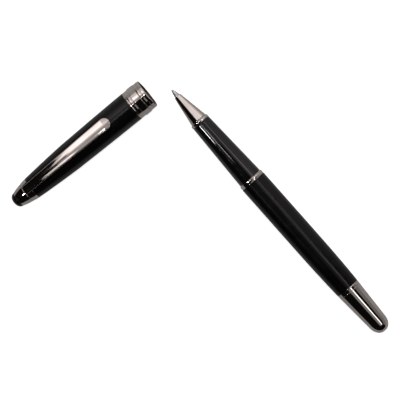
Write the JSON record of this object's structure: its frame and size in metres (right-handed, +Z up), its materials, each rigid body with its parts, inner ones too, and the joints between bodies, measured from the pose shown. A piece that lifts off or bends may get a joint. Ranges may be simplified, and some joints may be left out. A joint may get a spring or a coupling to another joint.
{
  "type": "rollerball pen",
  "caption": "Capped rollerball pen, uncapped: satin black barrel, gloss black section and polished metal nose and tail, with its clip cap lying beside it.",
  "frame": {"origin": "centre of the underside of the box round pen and cap, on the surface they lie on", "axes": "+X along the pen from its point to its tail, +Z up, the cap lies on the -Y side with its mouth towards the pen"},
  "size_m": [0.137, 0.0806, 0.0137],
  "materials": {
    "polished_metal": "mirror polish, warm grey plating",
    "satin_black": "satin black, smooth",
    "gloss_black": "high gloss black",
    "brass": "turned, unplated inside",
    "steel": "drawn tube, wire and turned point",
    "dark_plastic": "moulded",
    "grease": "translucent grease plug"
  },
  "bodies": {
    "section": {"section_grip": "gloss_black", "section_core": "brass", "front_ring": "polished_metal", "nose_cone": "polished_metal"},
    "refill": {"refill_tip": "steel", "refill_front": "dark_plastic", "refill_tube": "steel", "refill_plug": "dark_plastic"},
    "writing_ball": {"writing_ball": "steel"},
    "ink_follower": {"ink_follower": "grease"},
    "cap": {"cap_lip_ring": "polished_metal", "cap_ring_2": "polished_metal", "cap_center_band": "polished_metal", "cap_ring_3": "polished_metal", "cap_thin_ring": "polished_metal", "cap_tube": "satin_black", "inner_cap": "dark_plastic", "clip_collar": "polished_metal", "crown_shell": "polished_metal", "crown_insert": "gloss_black", "crown_stud": "steel", "crown_nut": "brass"},
    "clip": {"clip": "polished_metal"},
    "refill_spring": {"refill_spring": "steel"},
    "spring_cup": {"spring_cup": "dark_plastic"},
    "barrel": {"barrel_tube": "satin_black", "barrel_ring": "polished_metal", "barrel_bush": "brass", "tail_sleeve": "brass", "tail_ring": "polished_metal", "tail_cone": "polished_metal"}
  },
  "joints": [
    {"name": "cap_travel", "type": "slide", "parent": "section", "child": "ink_follower", "axis": [-1, 0, 0], "range_m": [-0.07353, 0]},
    {"name": "cap_swing", "type": "hinge", "parent": "ink_follower", "child": "cap", "pos_m": [-0.06824, 0.04286, 0.00535], "axis": [-0.0799, -0.0939, 0.9924], "range_deg": [-87.94, 0]},
    {"name": "clip_flex", "type": "hinge", "parent": "cap", "child": "clip", "pos_m": [-0.06427, -0.03253, 0.00969], "axis": [0.988, -0.0442, 0.1478], "range_deg": [0, 4], "stiffness_Nm_per_rad": 0.05},
    {"name": "barrel_pull", "type": "slide", "parent": "section", "child": "refill_spring", "axis": [1, 0, 0], "range_m": [0, 0.07]},
    {"name": "barrel_lead", "type": "slide", "parent": "refill_spring", "child": "spring_cup", "axis": [1, 0, 0], "range_m": [0, 0.0045]},
    {"name": "barrel_unscrew", "type": "hinge", "parent": "spring_cup", "child": "barrel", "pos_m": [-0.05592, 0.03497, 0.00535], "axis": [1, 0, 0], "range_deg": [0, 2170]},
    {"name": "refill_float", "type": "slide", "parent": "section", "child": "refill", "axis": [1, 0, 0], "range_m": [0, 0.0005], "stiffness_N_per_m": 150, "deforming": ["refill_spring"]},
    {"name": "ball_roll", "type": "hinge", "parent": "refill", "child": "writing_ball", "pos_m": [-0.05557, 0.03497, 0.00535], "axis": [0, 1, 0], "continuous": true}
  ],
  "couplings": [
    {"joint": "barrel_unscrew", "follows": "barrel_lead", "rad_per_m": 8377.6}
  ]
}
